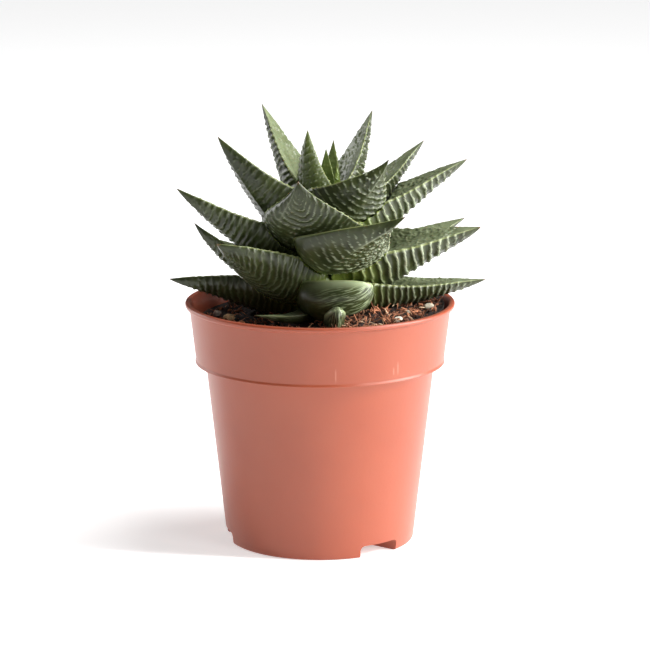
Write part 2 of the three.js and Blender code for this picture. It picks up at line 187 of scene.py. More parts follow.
def coat(shader, colour, height=None, strength=0.0, depth=0.0):
    """Give a shader its colour and, where there is a height, a fine relief of a depth in millimetres."""
    tree = shader.id_data
    tree.links.new(colour, shader.inputs["Base Color"])
    if height:
        bump = add(tree, "Bump", {"Height": height, "Strength": strength, "Distance": depth * MM})
        tree.links.new(bump, shader.inputs["Normal"])


def dress(piece, slot, *nodes):
    """A finished piece rides on the one body and stands for its solids. Its slot is not used."""
    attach(piece, "root")
    if nodes:
        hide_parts(*nodes)


# %% [markdown]
# ## The leaves
# A leaf of this plant is thick and three-cornered: a channel above, a keel below and a margin at each
# side. It clasps the stem with a broad foot and runs to a brown horny point. Its shape follows a rule, so
# each leaf is one row of sizes, and the same rule as in the solids makes a fine skin from it.

# %% Sizes of each leaf
STEM = {"x": 1.5, "y": 0.0, "foot_z": 62, "crown_z": 88, "top_z": 114}
STEM_RADIUS = {"foot": 4.5, "crown": 6.5, "top": 1.8}
# roll and sweep turn a leaf and bow it aside. foot, belly, full, point and blunt shape its outline, and
# clasp, keel, crease, slim and fat its section. pitch, height, rise and bend lay out its ridges, which
# bead, beads, lean and dotted break up into beads. pale, streaks and young colour it. pale is partly a
# painted light: the crests are painted paler on leaves in the light and fainter on shaded ones. The
# streak strength also sets a painted highlight along the margin near the end.
PLAIN_LEAF = {
    "roll": 0, "sweep": 0,
    "foot": 0.75, "belly": 0.2, "full": 1.08, "point": 0, "blunt": 0,
    "clasp": 0.5, "keel": 0, "crease": 0.12, "slim": 0.24, "fat": 0,
    "pitch": 2.2, "height": 0.6, "rise": 0, "bend": 1.2,
    "bead": 2, "beads": 0.3, "lean": 0, "dotted": 0,
    "pale": 0.35, "streaks": 0, "young": 0, "is_near": True,
}


def leaf(name, tip, seat, width, thick, bow, **own):
    """Tip, height of the seat, greatest width, thickness and bow, then what differs from a plain leaf."""
    row = {"name": name, "tip": tip, "seat": seat, "width": width, "thick": thick, "bow": bow}
    return {**PLAIN_LEAF, **row, **own}


LEAVES = [
    leaf("heart_leaf_1", (2, 2, 132), 113, 8, 2.6, 0.5, height=0.2, young=0.7),
    leaf("heart_leaf_2", (5.5, -1, 126.5), 111, 7, 2.2, 0.5, height=0.2, young=0.8),
    leaf("heart_leaf_3", (4.5, 8, 134), 110, 10, 3, 1, height=0.25, young=0.5),
    leaf("heart_leaf_4", (-4, -7, 139.5), 108, 18, 4.5, 1.5, height=0.35, beads=0.6, dotted=0.7,
         pale=0.25, young=0.2),
    leaf("upper_leaf_1", (17.5, 18, 142.5), 106, 25, 5.5, -1, roll=-24, height=0.7, beads=0.9, dotted=1,
         pale=0.6),
    leaf("upper_leaf_2", (-19.5, 16, 145), 105, 26, 5.5, -1, roll=15, height=0.75, pale=0.6),
    leaf("upper_leaf_3", (22.5, -15, 131), 107, 27.5, 6, 2, roll=-30, sweep=-2.5, belly=0.3, full=1.3,
         keel=-0.1, pitch=2, height=0.55, rise=0.25, beads=0.9, lean=-0.7, pale=0.5, point=0.5),
    leaf("upper_leaf_4", (35, 20, 132), 102, 27, 6, -1, roll=-8, beads=0.7, pale=0.6),
    leaf("upper_leaf_5", (-33.5, -8, 137.5), 101, 27, 6.5, 1, roll=30, height=0.4, beads=0.7, pale=0.1),
    leaf("upper_leaf_6", (-7, -26, 125.5), 99.5, 32, 6, 4.2, sweep=0.3, belly=0.35, full=2.5,
         keel=-0.58, pitch=1.9, height=0.45, bend=8, beads=0.5, bead=1.8, dotted=0.62, pale=0.35,
         slim=0.15, crease=0.35, point=0.5),
    leaf("upper_leaf_7", (6, 30, 122), 98.5, 26, 6, 2, is_near=False),
    leaf("middle_leaf_1", (49, 8, 127.5), 100.5, 30, 8, -2, pitch=2.7, height=0.8, beads=0.25, pale=0.75),
    leaf("middle_leaf_2", (-47, -12, 121), 91.5, 26, 7, 0.5, roll=25, pale=0.15),
    leaf("middle_leaf_3", (27.5, -32, 115), 95, 34, 8, 1, roll=-15, sweep=-6, belly=0.35, full=1.35,
         clasp=0.25, keel=-0.4, pitch=2, height=0.36, rise=0.5, bend=3, beads=1.1, bead=1.5, pale=0.8,
         foot=0.45, slim=0.5, crease=0.45, point=0.5),
    leaf("middle_leaf_4", (-24, 34, 121), 93.5, 28, 6.5, 1, is_near=False),
    leaf("middle_leaf_5", (22, 42, 114), 92, 28, 6.5, 1, is_near=False),
    leaf("middle_leaf_6", (-33.5, -26, 105), 83, 25, 8, -1, roll=22, belly=0.45, full=1.5, clasp=0.2,
         pitch=2.3, height=0.7, bend=7, beads=0.2, pale=0.18),
    leaf("lower_leaf_1", (53.5, 0, 106), 92, 30, 12, -1.5, roll=10, pitch=3, height=0.8, beads=0.15,
         pale=0.8),
    leaf("lower_leaf_2", (49.5, 26, 104.5), 87.5, 27, 6.5, -1, roll=8),
    leaf("lower_leaf_3", (-41.5, -6, 108.5), 87, 26, 6, 4, roll=20, height=0.65, pale=0.06),
    leaf("lower_leaf_4", (-4, 50, 106), 88, 27, 6.5, 0, is_near=False),
    leaf("lower_leaf_5", (-40, 32, 97), 86, 26, 6, 0, is_near=False),
    leaf("ground_leaf_1", (55.5, 4, 87.5), 83, 25, 7.5, -0.5, beads=0.35, pale=0.6, height=0.7),
    leaf("ground_leaf_2", (-50.5, 2, 88), 79.5, 26, 7, -1.5, roll=35, clasp=0.3, beads=0.2, pale=0.12),
    leaf("ground_leaf_3", (17.5, -23, 90), 80, 18, 10, -2, roll=-28, sweep=-10, blunt=0.46, height=0,
         streaks=1.1, crease=0.4, fat=0.2, young=0.05),
    leaf("ground_leaf_4", (24, 46, 90), 84, 24, 6, -1, is_near=False),
    leaf("ground_leaf_5", (-22, 44, 88), 83.5, 24, 6, -1, is_near=False),
    leaf("ground_leaf_6", (-21.5, -24, 81), 79, 11, 4, 0, sweep=7, height=0, streaks=0.5),
    leaf("ground_leaf_7", (5.8, -33, 84.5), 78.5, 10, 6.5, 2.5, blunt=0.4, height=0, streaks=1, fat=0.4),
]
print("leaves:", len(LEAVES))

# %% [markdown]
# The line of a leaf is a curve from the stem to its tip. Along it stands a frame of three directions:
# along the leaf, to its side, and up out of its channel.

# %% The line of a leaf
def smooth(values, low, high):
    share = np.clip((values - low) / (high - low), 0, 1)
    return share * share * (3 - 2 * share)


def unit(vectors):
    return vectors / np.linalg.norm(vectors, axis=-1, keepdims=True)


def leaf_line(leaf, t):
    """Centre, along, side and up at shares t of a leaf's length."""
    tip = np.array(leaf["tip"], dtype=float)
    start = np.array([STEM["x"], STEM["y"], leaf["seat"]], dtype=float)
    out = unit((tip - start) * [1, 1, 0])
    side = np.array([-out[1], out[0], 0])
    start = start + out * STEM_RADIUS["top"]
    below = unit(np.cross(side, unit(tip - start)))
    middle = (start + tip) / 2 + below * 2 * leaf["bow"] + side * 2 * leaf["sweep"]
    t = t[:, None]
    centre = (1 - t) ** 2 * start + 2 * t * (1 - t) * middle + t**2 * tip
    along = unit((1 - t) * (middle - start) + t * (tip - middle))
    side = unit(side - along * (along @ side)[:, None])
    up = np.cross(along, side)
    turn = math.radians(leaf["roll"])
    rolled_side = side * math.cos(turn) + up * math.sin(turn)
    rolled_up = up * math.cos(turn) - side * math.sin(turn)
    return centre, along, rolled_side, rolled_up


# %% [markdown]
# Across the leaf, both faces are curves between its margins. The lower face has a keel that is round at
# the foot and sharp towards the tip. The edge where the faces meet is a small round, not a knife.

# %% The skin of a leaf
EDGE_ROUND = 0.35
BLUNT_FROM, POINT_FROM = 0.82, 0.6
HALF_THICK, THICK_BY, THIN_OVER = 0.5, 0.35, 0.65
OPEN_MARGIN, OPEN_BY = 0.04, 0.75
CHANNEL = 0.06
# The lower face is measured at this share of the way from the keel to the margin, where it is plump
PLUMP_AT, PLUMP, LEAST_PLUMP = 0.6, 0.86, 0.42


def leaf_points(leaf, t, across, is_upper, grown=0.0):
    """Points of a leaf's skin: one ring for each t, one column for each place across it."""
    centre, _, side, up = leaf_line(leaf, t)
    shape = t * (1 - leaf["blunt"])
    foot = leaf["foot"] + (1 - leaf["foot"]) * smooth(shape, 0, leaf["belly"])
    beyond = np.clip((shape - leaf["belly"]) / (1 - leaf["belly"]), 0, 1)
    rounding = np.clip((t - BLUNT_FROM) / (1 - BLUNT_FROM), 0, 1)
    ending = (1 - rounding**2.6) ** 0.42 if leaf["blunt"] else 1
    pointed = 1 - leaf["point"] * smooth(t, POINT_FROM, 1)
    half = leaf["width"] / 2 * foot * (1 - beyond ** leaf["full"]) * ending * pointed + grown
    thick_foot = HALF_THICK + (1 - HALF_THICK) * smooth(shape, 0, THICK_BY)
    depth = leaf["thick"] * thick_foot * np.minimum(1, (1 - shape) / THIN_OVER) ** 0.75 * ending
    clasp = leaf["clasp"] * smooth(t, -0.06, 0.14)
    margin = half * (clasp + (OPEN_MARGIN - clasp) * smooth(t, 0, OPEN_BY))
    plump = np.maximum(PLUMP - leaf["slim"] * t, LEAST_PLUMP)
    crease = np.minimum(leaf["crease"] + 0.6 * t, (1 - plump) / PLUMP_AT - 0.03)
    power = np.log((1 - PLUMP_AT * crease - plump) / (1 - crease)) / np.log(PLUMP_AT)
    half, depth, margin, crease, power = [v[:, None] for v in (half, depth, margin, crease, power)]
    a = np.abs(across)[None, :]
    round_edge = (np.minimum(EDGE_ROUND, half * 0.2) + grown) * np.sqrt(1 - a**2)
    from_keel = across - leaf["keel"]
    b = np.abs(from_keel / (1 - np.sign(from_keel) * leaf["keel"]))[None, :]
    keel = 1 - crease * b - (1 - crease) * b**power
    lower = margin * a**2 - depth * keel - round_edge
    fat = leaf["fat"] * depth * smooth(t, 0.3, 0.8)[:, None] * (1 - a**2)
    upper = margin * a**1.5 - CHANNEL * half * (1 - a**4) + round_edge + fat
    high = np.where(is_upper[None, :], upper, lower)
    wide = across[None, :] * half
    return centre[:, None] + side[:, None] * wide[..., None] + up[:, None] * high[..., None]


def outline(count):
    """Places round a leaf's section, from the left margin over the keel to the right and back above."""
    even = np.linspace(-1, 1, count + 1)
    spread = 0.6 * even + 0.4 * np.sin(even * math.pi / 2)
    across = np.concatenate([spread, spread[-2:0:-1]])
    return across, np.arange(len(across)) > count


def tube_faces(rings, sides):
    """Faces of a closed skin: a pole, rings of points, and another pole."""
    first, last = rings * sides, rings * sides + 1
    faces = [(first, (k + 1) % sides, k) for k in range(sides)]
    top = (rings - 1) * sides
    faces += [(last, top + k, top + (k + 1) % sides) for k in range(sides)]
    for r in range(rings - 1):
        low, high = r * sides, (r + 1) * sides
        faces += [(low + k, low + (k + 1) % sides, high + (k + 1) % sides, high + k) for k in range(sides)]
    return faces


LAST_RING, LAST_BLUNT_RING = 0.995, 0.998
BLUNT_SHARE = 0.95
FOOT_CAP = 0.2


def leaf_object(leaf, name, rings, columns, grown=0.0):
    """A closed leaf, with the numbers that its ridges and its colour read stored on its points."""
    even = np.linspace(0, 1, rings)
    t = LAST_BLUNT_RING * np.sin(even * math.pi / 2) if leaf["blunt"] else LAST_RING * even
    full_share = BLUNT_SHARE if leaf["blunt"] else 1
    across, is_upper = outline(columns)
    skin_points = leaf_points(leaf, t, across, is_upper, grown)
    centre, along, _, _ = leaf_line(leaf, np.array([0.0, 1.0]))
    foot = skin_points[0].mean(axis=0) - along[0] * (FOOT_CAP + grown)
    tip = centre[1] + along[1] * grown
    points = np.concatenate([skin_points.reshape(-1, 3), foot[None], tip[None]])
    piece = mesh_object(name, points, tube_faces(rings, len(across)))
    middle = leaf_line(leaf, t)[0]
    steps = np.linalg.norm(np.diff(middle, axis=0), axis=1)
    length = np.concatenate([[0], np.cumsum(steps)])
    chord = np.linalg.norm(np.diff(skin_points, axis=1, append=skin_points[:, :1]), axis=2)
    arc = np.cumsum(chord, axis=1) - chord
    keel_column, channel_column = columns // 2, columns + columns // 2
    from_keel = arc - arc[:, keel_column : keel_column + 1]
    from_channel = arc[:, channel_column : channel_column + 1] - arc
    from_middle = np.where(is_upper[None, :], from_channel, from_keel)
    stored = {
        "length": (length[:, None], 0, length[-1]),
        "share": (t[:, None] * full_share, 0, full_share),
        "arc": (from_middle, 0, 0),
        "across": (across[None, :], 0, 0),
        "off_keel": ((across - leaf["keel"])[None, :], 0, 0),
        "upper": (is_upper[None, :].astype(float), 0, 0),
        "young": (leaf["young"],) * 3,
        "streaks": (leaf["streaks"],) * 3,
    }
    for label, (values, at_foot, at_tip) in stored.items():
        grid = np.broadcast_to(values, skin_points.shape[:2])
        store(piece, label, np.concatenate([grid.ravel(), [at_foot, at_tip]]))
    return piece


# %% [markdown]
# ## Ridges and tubercles
# The skin carries white-green ridges, every 2 mm or so, that cross it from margin to keel. They wander,
# and in places they break up into beads. On the upper face they join into a raised net. Geometry Nodes
# fit this well: one tree pushes the skin out along its normals, and each leaf sets its own pitch,
# height and share of beads. The tree also notes where the skin is pale, for its colour. How pale each
# leaf is painted is partly a painted light: paler on leaves in the light, fainter on shaded ones.

# %% The relief tree
RELIEF_OF_ROW = {
    "Ridge Pitch": "pitch", "Ridge Height": "height", "Rise": "rise", "Bend": "bend", "Beads": "beads",
    "Lean": "lean", "Bead Pitch": "bead", "Dotted Below": "dotted", "Paleness And Light": "pale",
}
RELIEF = {label: PLAIN_LEAF[key] for label, key in RELIEF_OF_ROW.items()}
RELIEF.update({"Pit Size": 2.6, "Wander": 0.9, "Seed": 0})
TALLEST = 0.8


def build_relief_tree():
    node, given = geometry_tree("Leaf relief", RELIEF)
    stored = ("length", "arc", "across", "share", "upper", "off_keel")
    reader = "GeometryNodeInputNamedAttribute.FLOAT"
    length, arc, across, share, upper, off_keel = [node(reader, [name]) for name in stored]
    edge = node("ABSOLUTE", [across])
    from_keel = node("ABSOLUTE", [off_keel])
    lower = node("SUBTRACT", [1.0, upper])
    layer = node("MULTIPLY_ADD", [upper, 37.0, given["Seed"]])
    place = node("CombineXYZ", [length, arc, layer])
    # Cells of 6 mm down to 1 mm: the places are in millimetres here
    scales = (0.16, 0.3, 0.5, 0.7, 1.1)
    noises = [node("TexNoise", {"Vector": place, "Scale": scale, "Detail": 0.0}) for scale in scales]
    wide, patchy, middling, close, fine = noises

    # Lines across the leaf: how far each point is from the nearest ridge, in shares of the pitch
    sway = node("MULTIPLY_ADD", [wide, 2.0, middling])
    sway = node("SUBTRACT", [sway, 1.5])
    sway = node("MULTIPLY_ADD", [node("SUBTRACT", [fine, 0.5]), 0.75, sway])
    bowed = node("MULTIPLY", [node("POWER", [edge, 1.3]), given["Bend"]])
    curved = node("SUBTRACT", [length, bowed])
    phase = node("MULTIPLY_ADD", [sway, given["Wander"], curved])
    phase = node("DIVIDE", [phase, given["Ridge Pitch"]])
    ridge_number = node("ROUND", [phase])
    away = node("ABSOLUTE", [node("SUBTRACT", [phase, ridge_number])])
    narrow = node("MapRange.SMOOTHSTEP", [away, 0.17, 0.02])
    roll = node("MULTIPLY", [node("MapRange.SMOOTHSTEP", [away, 0.5, 0.08]), 0.45])
    line = node("MULTIPLY_ADD", [narrow, 0.55, roll])

    # Beads along a ridge, at another place on each
    number = node("ADD", [ridge_number, given["Seed"]])
    own = node("TexWhiteNoise", {"W": number}, noise_dimensions="1D")
    beads = node("DIVIDE", [arc, given["Bead Pitch"]])
    beads = node("MULTIPLY_ADD", [own, 9.0, beads])
    beads = node("MULTIPLY_ADD", [close, 1.6, beads])
    wave = node("COSINE", [node("MULTIPLY", [beads, math.tau])])
    bead = node("MapRange.SMOOTHSTEP", [wave, -0.6, 0.8])
    patch = node("MapRange.SMOOTHSTEP", [patchy, 0.38, 0.62])
    wanted = node("MULTIPLY_ADD", [given["Lean"], off_keel, given["Beads"]])
    in_patches = node("MULTIPLY", [wanted, node("MULTIPLY_ADD", [patch, 0.5, 0.7])])
    at_tip = node("MapRange.SMOOTHSTEP", [share, 0.62, 0.9])
    dotted = node("SUBTRACT", [given["Dotted Below"], share])
    at_foot = node("MapRange.SMOOTHSTEP", [dotted, -0.08, 0.08])
    broken = node("MAXIMUM", [in_patches, node("MAXIMUM", [at_tip, at_foot])])
    broken = node("MINIMUM", [broken, 1.0])
    lost = node("MULTIPLY", [broken, node("SUBTRACT", [1.0, bead])])
    kept = node("SUBTRACT", [1.0, lost])
    ridges = node("MULTIPLY", [line, kept])

    # A raised net with pits on the upper face
    per_pit = node("DIVIDE", [1.0, given["Pit Size"]])
    cells = node("VectorMath.SCALE", {0: place, "Scale": per_pit})
    border = node("TexVoronoi.DISTANCE_TO_EDGE", {"Vector": cells, "Scale": 1.0})
    inside = node("MapRange.SMOOTHSTEP", [border, 0.03, 0.28])
    deep = node("MapRange.SMOOTHSTEP", [patchy, 0.2, 0.5])
    pit = node("MULTIPLY", [node("MULTIPLY", [inside, deep]), 0.5])
    spots = node("TexVoronoi", {"Vector": cells, "Scale": 1.3, "Randomness": 0.8})
    spot = node("MapRange.SMOOTHSTEP", [spots, 0.35, 0.08])
    net = node("MULTIPLY_ADD", [spot, 0.45, node("SUBTRACT", [0.5, pit])])

    # The relief fades at the foot, the tip, the margins and the keel
    at_keel = node("MapRange.SMOOTHSTEP", [from_keel, 0.22, 0.0, 0.0, 0.6])
    back_keel = node("MULTIPLY", [lower, at_keel])
    from_foot = node("MapRange.SMOOTHSTEP", [share, 0.03, 0.16])
    ends = node("MULTIPLY", [from_foot, node("MapRange.SMOOTHSTEP", [share, 0.98, 0.76])])
    margin = node("MapRange.SMOOTHSTEP", [edge, 0.93, 1.0, 1.0, 0.75])
    crest = node("Mix", {0: upper, 2: ridges, 3: net})
    for fade in (node("MULTIPLY", [ends, margin]), node("SUBTRACT", [1.0, back_keel])):
        crest = node("MULTIPLY", [crest, fade])
    tall = node("MULTIPLY_ADD", [given["Rise"], off_keel, given["Ridge Height"]])
    tall = node("MAXIMUM", [tall, 0.0])
    tall = node("MINIMUM", [tall, TALLEST])
    lift = node("MULTIPLY", [node("MULTIPLY", [crest, tall]), MM])

    # What is painted pale: the crests and the line of the keel. Its strength on each leaf is partly a
    # painted light, higher on leaves in the light and lower on shaded ones
    top_of_net = node("MapRange.SMOOTHSTEP", [net, 0.5, 0.9])
    sharp = node("MULTIPLY", [node("MapRange.SMOOTHSTEP", [away, 0.15, 0.04]), kept])
    marked = node("Mix", {0: upper, 2: sharp, 3: top_of_net})
    raised = node("MapRange.SMOOTHSTEP", [tall, 0.0, 0.45])
    less_above = node("SUBTRACT", [1.0, node("MULTIPLY", [upper, 0.45])])
    for fade in (ends, raised, less_above, given["Paleness And Light"]):
        marked = node("MULTIPLY", [marked, fade])
    keel_line = node("MapRange.SMOOTHSTEP", [from_keel, 0.07, 0.0])
    near_tip = node("MapRange.SMOOTHSTEP", [share, 0.55, 0.75, 0.0, 0.5])
    for fade in (near_tip, lower, given["Paleness And Light"]):
        keel_line = node("MULTIPLY", [keel_line, fade])
    paint = node("MAXIMUM", [marked, keel_line])

    normal = node("GeometryNodeInputNormal")
    offset = node("VectorMath.SCALE", {0: normal, "Scale": lift})
    noted = {"Geometry": given["Geometry"], "Name": "paint", "Value": paint}
    painted = node("GeometryNodeStoreNamedAttribute.FLOAT", noted, domain="POINT")
    moved = node("GeometryNodeSetPosition", {"Geometry": painted, "Offset": offset})
    return close_tree(moved, given["Material"])


relief_tree = build_relief_tree()

# %% [markdown]
# ## Leaf skin
# A waxy cuticle over dark green cells. It is smooth enough for a broad grey sheen, and its ridges are
# pale because the cells under them hold air; how pale they are painted differs by leaf as a painted
# light, paler on leaves in the light. The upper faces are paler, and painted greyer as a painted sheen.
# The foot is a fresh yellow-green, where no light reached it, the margins are thin lines of the same
# colour, and the tip dries brown. Streaked leaves get a painted highlight along the margin near the end.

# %% Leaf material
def leaf_skin():
    material, node, shader = skin(
        "waxy_leaf_skin",
        Roughness=0.3,
        Subsurface_Weight=0.04,
        Subsurface_Scale=2 * MM,
        Specular_IOR_Level=0.38,
    )
    stored = ("length", "arc", "across", "share", "upper", "young", "streaks", "paint")
    length, arc, across, share, upper, young, streaks, paint = [
        node("Attribute", out="Fac", attribute_name=name) for name in stored
    ]
    edge = node("ABSOLUTE", [across])
    place = node("TexCoord", out="Object")
    cloud = node("TexNoise", {"Vector": place, "Scale": cells(6.25), "Detail": 3.0})

    # Streaks of 0.4 mm along the leaf, which fade towards the foot, and a painted highlight along the
    # margin near the end
    drawn_out = node("CombineXYZ", [node("MULTIPLY", [length, 0.12]), arc])
    lines = node("TexNoise", {"Vector": drawn_out, "Scale": 2.4, "Detail": 2.0})
    lines = node("MapRange", [lines, 0.5, 0.62])
    streak = node("MULTIPLY", [lines, node("MapRange", [share, 0.5, 0.95, 0.0, 0.9])])
    margin_highlight = node("MapRange", [edge, 0.88, 0.98])
    margin_highlight = node("MULTIPLY", [margin_highlight, node("MapRange", [share, 0.5, 0.85])])
    streak = node("MULTIPLY", [node("MAXIMUM", [streak, margin_highlight]), streaks])

    # Each layer lies over those before it: where it shows, and its colour
    # The upper faces: their own paler colour, greyed as a painted sheen
    inner = mottle(node, cloud, 0.35, 0.65, linear("666f4e"), linear("7f8868"))
    crest = mottle(node, share, 0.45, 0.1, linear("bcc5a6"), linear("a9b86c"))
    colour = mottle(node, cloud, 0.35, 0.65, linear("282e16"), linear("3b4223"))
    for shown, layer in (
        (upper, inner),
        (young, linear("75883c")),
        (node("MapRange", [share, 0.34, 0.06]), linear("76863a")),
        # Streaks, together with the painted highlight along the margin near the end
        (streak, linear("a3b088")),
        # The crests: pale in their own colour, and painted paler on leaves in the light, a painted light
        (paint, crest),
        (node("MapRange", [edge, 0.982, 1.0, 0.0, 0.7]), linear("a0ab70")),
        (node("MapRange", [share, 0.975, 1.0]), linear("6b5138")),
    ):
        colour = node("Mix.RGBA", {0: shown, 6: colour, 7: layer}, out=2)
    # The real grain is finer, and is drawn as coarse as it needs to show
    grain = node("TexNoise", {"Vector": place, "Scale": cells(0.7143), "Detail": 2.0})
    coat(shader, colour, grain, 0.25, 0.2)
    return material


leaf_material = leaf_skin()

# %% [markdown]
# ## Seating the leaves
# On the plant each older leaf is pressed hollow by the younger ones that it clasps. A Boolean cut does
# the same: the younger leaves, grown by the height of their ridges, and the stem are taken away, and only
# the largest body of what is left is kept.

# %% Cut and keep
SEAT_GAP = 0.25
RELIEF_SHARE = 0.8
NEAR_RINGS, NEAR_COLUMNS = 170, 48
FAR_RINGS, FAR_COLUMNS = 90, 28
CUTTER_RINGS, CUTTER_COLUMNS = 24, 12
STEM_SIDES = 24
SEED_STEP = 3.7


def keep_largest(piece):
    """Drop every loose scrap of a piece but its largest body."""
    body = bmesh.new()
    body.from_mesh(piece.data)
    body.verts.ensure_lookup_table()
    group = [-1] * len(body.verts)
    sizes = []
    for start in body.verts:
        if group[start.index] >= 0:
            continue
        group[start.index] = len(sizes)
        waiting, size = [start], 0
        while waiting:
            vertex = waiting.pop()
            size += 1
            for edge in vertex.link_edges:
                other = edge.other_vert(vertex)
                if group[other.index] < 0:
                    group[other.index] = len(sizes)
                    waiting.append(other)
        sizes.append(size)
    best = sizes.index(max(sizes))
    bmesh.ops.delete(body, geom=[v for v in body.verts if group[v.index] != best], context="VERTS")
    body.to_mesh(piece.data)
    body.free()


def boxes_meet(first, second):
    a, b = [np.array([v.co[:] for v in o.data.vertices]) for o in (first, second)]
    return bool(np.all(a.min(0) < b.max(0)) and np.all(b.min(0) < a.max(0)))


def combine(piece, others, operation):
    """Join the others to a piece or take them away from it."""
    for other in others:
        modifier = piece.modifiers.new(operation, "BOOLEAN")
        modifier.object = other
        modifier.operation = operation
        modifier.solver = "MANIFOLD"
    freeze(piece)


def turned(name, stations, sides, x=0.0, y=0.0):
    """Sweep stations of (radius, height) round an upright axis. The first and last lie on the axis."""
    angles = np.linspace(0, math.tau, sides, endpoint=False)
    rings = [[(x + r * math.cos(a), y + r * math.sin(a), z) for a in angles] for r, z in stations[1:-1]]
    poles = [(x, y, stations[0][1]), (x, y, stations[-1][1])]
    return mesh_object(name, [p for ring in rings for p in ring] + poles, tube_faces(len(rings), sides))


# %% Grow every leaf
def stem_cutter():
    """The stem, larger by the gap that the leaves keep from it."""
    foot = (STEM_RADIUS["foot"] + SEAT_GAP, STEM["foot_z"])
    crown = (STEM_RADIUS["crown"] + SEAT_GAP, STEM["crown_z"])
    top = (STEM_RADIUS["top"] + SEAT_GAP, STEM["top_z"] + SEAT_GAP)
    return turned("stem_cutter", [foot, foot, crown, top, top], STEM_SIDES, STEM["x"], STEM["y"])


def grow_leaves():
    cutters = [stem_cutter()]
    total = 0
    for number, row in enumerate(LEAVES):
        rings, columns = (NEAR_RINGS, NEAR_COLUMNS) if row["is_near"] else (FAR_RINGS, FAR_COLUMNS)
        piece = leaf_object(row, row["name"] + "_fine", rings, columns)
        sizes = {label: row[key] for label, key in RELIEF_OF_ROW.items()}
        grow(piece, relief_tree, leaf_material, {**sizes, "Seed": number * SEED_STEP})
        freeze(piece)
        combine(piece, [cutter for cutter in cutters if boxes_meet(piece, cutter)], "DIFFERENCE")
        keep_largest(piece)
        dress(piece, "leaf_skin", row["name"])
        grown = row["height"] * RELIEF_SHARE + SEAT_GAP
        cutters.append(leaf_object(row, "cutter", CUTTER_RINGS, CUTTER_COLUMNS, grown))
        total += triangles(piece)
    for cutter in cutters:
        bpy.data.objects.remove(cutter)
    print("leaf triangles:", total)


grow_leaves()

# %% [markdown]
# ## The pot
# An injection-moulded polypropylene nursery pot: a tapering body, a wide collar with a lip and a step at
# its lower edge, and a beaded rim. It is round, so a profile with soft corners, swept round the axis,
# makes all of it but the notches at its foot.

# %% Pot profile
POT_WALL = 1.2
POT_PROFILE = [
    (31.5, 0.0, 0.9),
    (38.3, 60.7, 0.3),
    (41.8, 60.7, 0.25),
    (41.75, 61.2, 0.2),
    (41.55, 61.7, 0.3),
    (43.6, 79.2, 0.3),
    (45.0, 79.6, 0.6),
    (45.0, 81.0, 0.6),
    (43.2, 81.0, 0.6),
    (42.3, 77.5, 1.0),
    (40.3, 61.9, 0.8),
    (37.1, 61.9, 0.8),
    (30.3, 1.4, 1.2),
]
POT_FLOOR = 1.4
POT_SIDES = 180


def rounded(corners, first, last, steps=5):
    """A line through corners of (radius, height, rounding), each corner turned to a soft curve."""
    stations = [np.array(first)]
    points = [np.array(first)] + [np.array(c[:2]) for c in corners] + [np.array(last)]
    for before, corner, after, row in zip(points, points[1:], points[2:], corners):
        back, on = before - corner, after - corner
        reach = min(row[2], np.linalg.norm(back) / 2.2, np.linalg.norm(on) / 2.2)
        start, end = corner + reach * unit(back), corner + reach * unit(on)
        for s in np.linspace(0, 1, steps):
            stations.append((1 - s) ** 2 * start + 2 * s * (1 - s) * corner + s**2 * end)
    return stations + [np.array(last)]


# %% [markdown]
# A notch is an arched opening in the foot, with a housing behind it that keeps the soil in. Both are a
# block between two radii. The larger one, joined to the pot, is the housing. The smaller one cuts it open.

# %% Drainage notches
NOTCH = {"count": 3, "first_angle": -51, "width": 28, "height": 4.0, "corner": 1.6}
NOTCH_RADII = {"inner": 21.0, "housing": 30.9, "outer": 47.0}
HOUSING_FOOT = 0.4
FOOT_RADIUS = POT_PROFILE[0][0]


def sector(angle, grown, foot, outer):
    """A block between two radii and two angles, with soft upper corners."""
    half = math.radians(NOTCH["width"] / 2) * FOOT_RADIUS + grown
    height, corner = NOTCH["height"] + grown, NOTCH["corner"]
    across = [(-half, foot)]
    for turn in np.linspace(math.pi, math.pi / 2, 6):
        across.append((-half + corner + corner * math.cos(turn), height - corner + corner * math.sin(turn)))
    across += [(-x, z) for x, z in reversed(across)]
    middle = math.radians(angle)
    points = []
    for radius in (NOTCH_RADII["inner"] - grown, outer):
        for x, z in across:
            a = middle + x / FOOT_RADIUS
            points.append((radius * math.cos(a), radius * math.sin(a), z))
    n = len(across)
    faces = [tuple(range(n - 1, -1, -1)), tuple(range(n, 2 * n))]
    faces += [(k, (k + 1) % n, n + (k + 1) % n, n + k) for k in range(n)]
    piece = mesh_object("sector", points, faces)
    body = bmesh.new()
    body.from_mesh(piece.data)
    bmesh.ops.recalc_face_normals(body, faces=body.faces)
    body.to_mesh(piece.data)
    body.free()
    return piece


# %% [markdown]
# ## Moulded plastic
# Polypropylene is slightly see-through and waxy: light goes a little way in, and the gloss is a soft
# satin with a very fine grain from the mould. The flow of the plastic left a few short raised lines that
# stand upright on the collar. They are drawn only as pale lines, a painted highlight where they catch
# the light.

# %% Pot material
# Flow marks, drawn as painted highlights: the place across, the height of the middle and the half length
FLOW_MARKS = [
    {"across": 5.1, "middle_z": 64.7, "half": 2.7},
    {"across": 23.9, "middle_z": 64.6, "half": 1.6},
    {"across": 25.3, "middle_z": 65.4, "half": 2.6},
]
FLOW_MARK_HIGHLIGHT = {"half_width": 0.35, "core": 0.05, "strength": 0.2}


